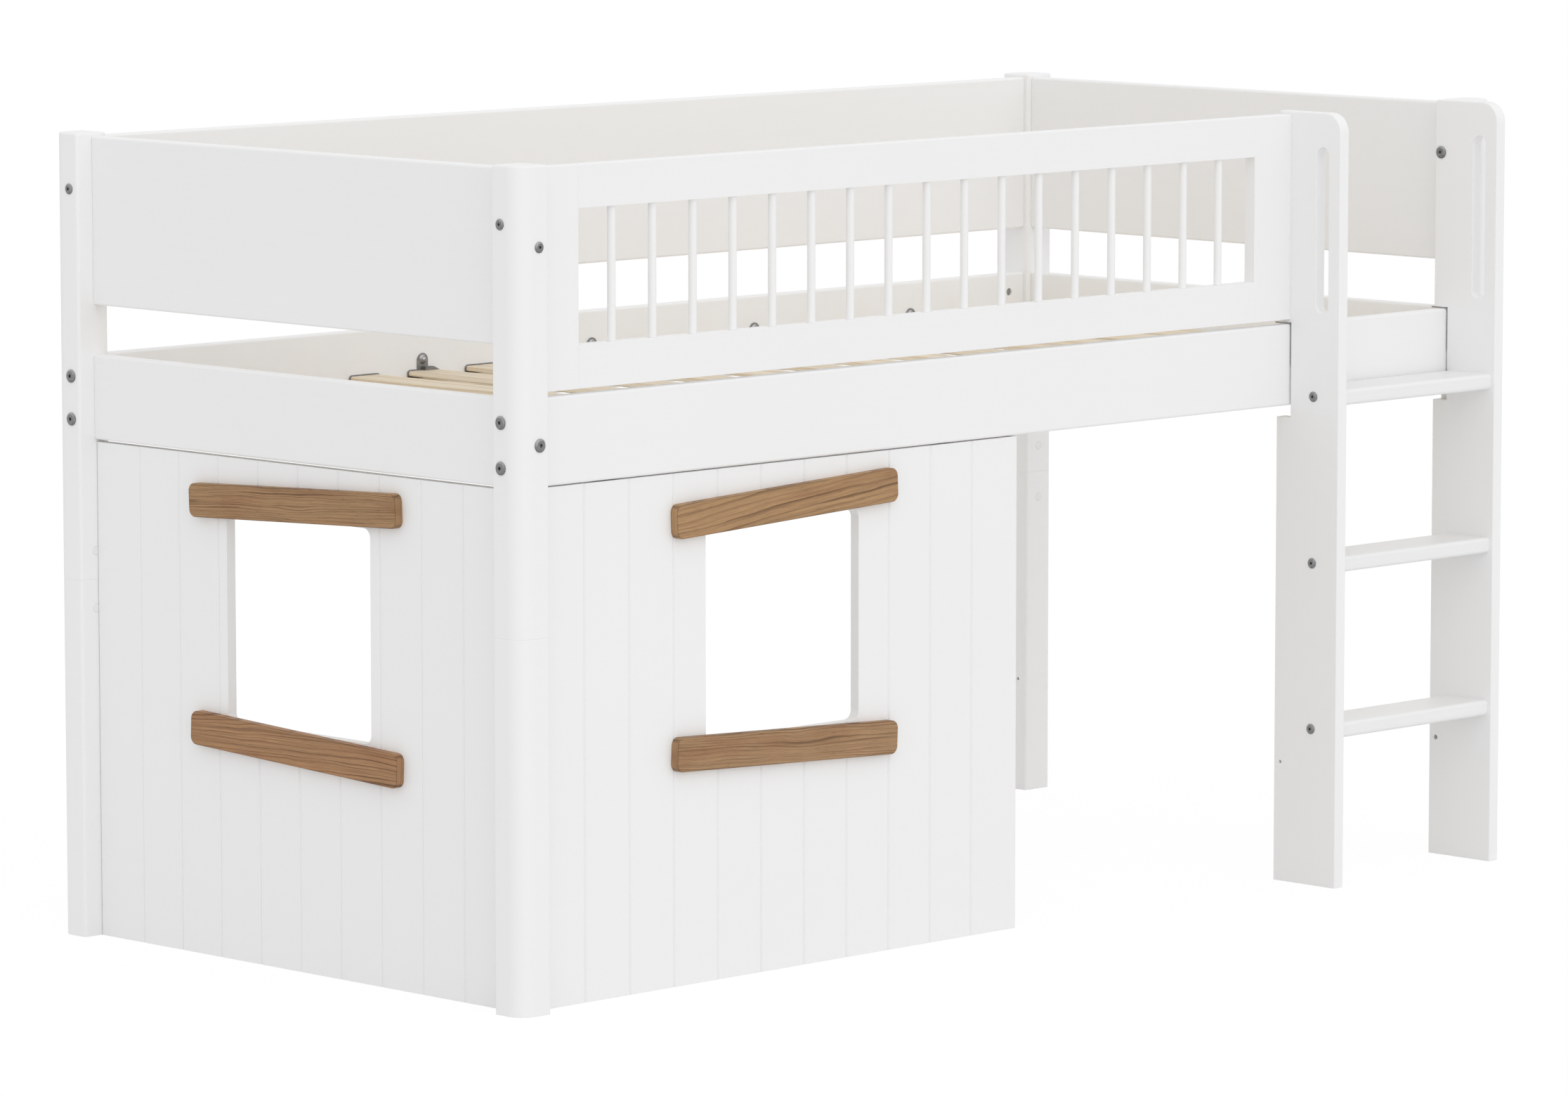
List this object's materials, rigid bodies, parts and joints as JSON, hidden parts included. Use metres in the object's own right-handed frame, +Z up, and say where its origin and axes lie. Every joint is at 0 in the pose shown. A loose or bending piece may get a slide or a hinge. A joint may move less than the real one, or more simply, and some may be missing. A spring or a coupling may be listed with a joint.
{
  "type": "mid sleeper bed",
  "caption": "Raised white timber child's bed on corner posts, with slatted base, spindle guard, hooked ladder, and boarded play walls below with windows under tilted oak trim.",
  "frame": {"origin": "on the floor, under the middle of the whole bed with its ladder and bolt heads", "axes": "+X along the bed from the boarded end to the ladder end, +Y from the ladder side to the back, +Z up"},
  "size_m": [2.106, 1.087, 1.2],
  "materials": {
    "white_paint": "satin white paint on smooth timber",
    "oak_wood": "matt oiled oak with dark lengthwise grain",
    "pine_wood": "bare planed pine",
    "zinc_steel": "dull zinc plating",
    "white_plastic": "smooth moulded cover cap"
  },
  "bodies": {
    "root": {"back_bed_rail": "white_paint", "back_board": "white_paint", "back_slat_ledge": "pine_wood", "end_wall_panel": "white_paint", "end_window_lintel": "oak_wood", "end_window_sill": "oak_wood", "frame_bolts": "zinc_steel", "frame_dowels": "pine_wood", "frame_inserts": "zinc_steel", "front_bed_rail": "white_paint", "front_slat_ledge": "pine_wood", "front_wall_panel": "white_paint", "front_window_lintel": "oak_wood", "front_window_sill": "oak_wood", "guard_bottom_rail": "white_paint", "guard_left_stile": "white_paint", "guard_right_stile": "white_paint", "guard_spindles": "white_paint", "guard_top_rail": "white_paint", "hanger_screws": "zinc_steel", "hook_screws": "zinc_steel", "ladder_left_hook": "zinc_steel", "ladder_left_stile": "white_paint", "ladder_post_bolt": "zinc_steel", "ladder_post_nut": "zinc_steel", "ladder_right_hook": "zinc_steel", "ladder_right_stile": "white_paint", "ladder_step_1": "white_paint", "ladder_step_2": "white_paint", "ladder_step_3": "white_paint", "ledge_screws": "zinc_steel", "left_end_board": "white_paint", "left_end_rail": "white_paint", "leg_back_left": "white_paint", "leg_back_right": "white_paint", "leg_front_left": "white_paint", "leg_front_right": "white_paint", "leg_grub_screws": "zinc_steel", "leg_plugs": "white_plastic", "leg_studs": "zinc_steel", "panel_pins": "zinc_steel", "panel_plates": "zinc_steel", "plate_screws": "zinc_steel", "post_back_left": "white_paint", "post_back_right": "white_paint", "post_front_left": "white_paint", "post_front_right": "white_paint", "rail_barrel_nuts": "zinc_steel", "rail_bolts": "zinc_steel", "right_end_board": "white_paint", "right_end_rail": "white_paint", "slat_hangers": "zinc_steel", "slat_shoes": "zinc_steel", "slats": "pine_wood", "step_barrel_nuts": "zinc_steel", "step_bolts": "zinc_steel", "step_dowels": "pine_wood", "trim_screws": "zinc_steel"}
  },
  "joints": []
}
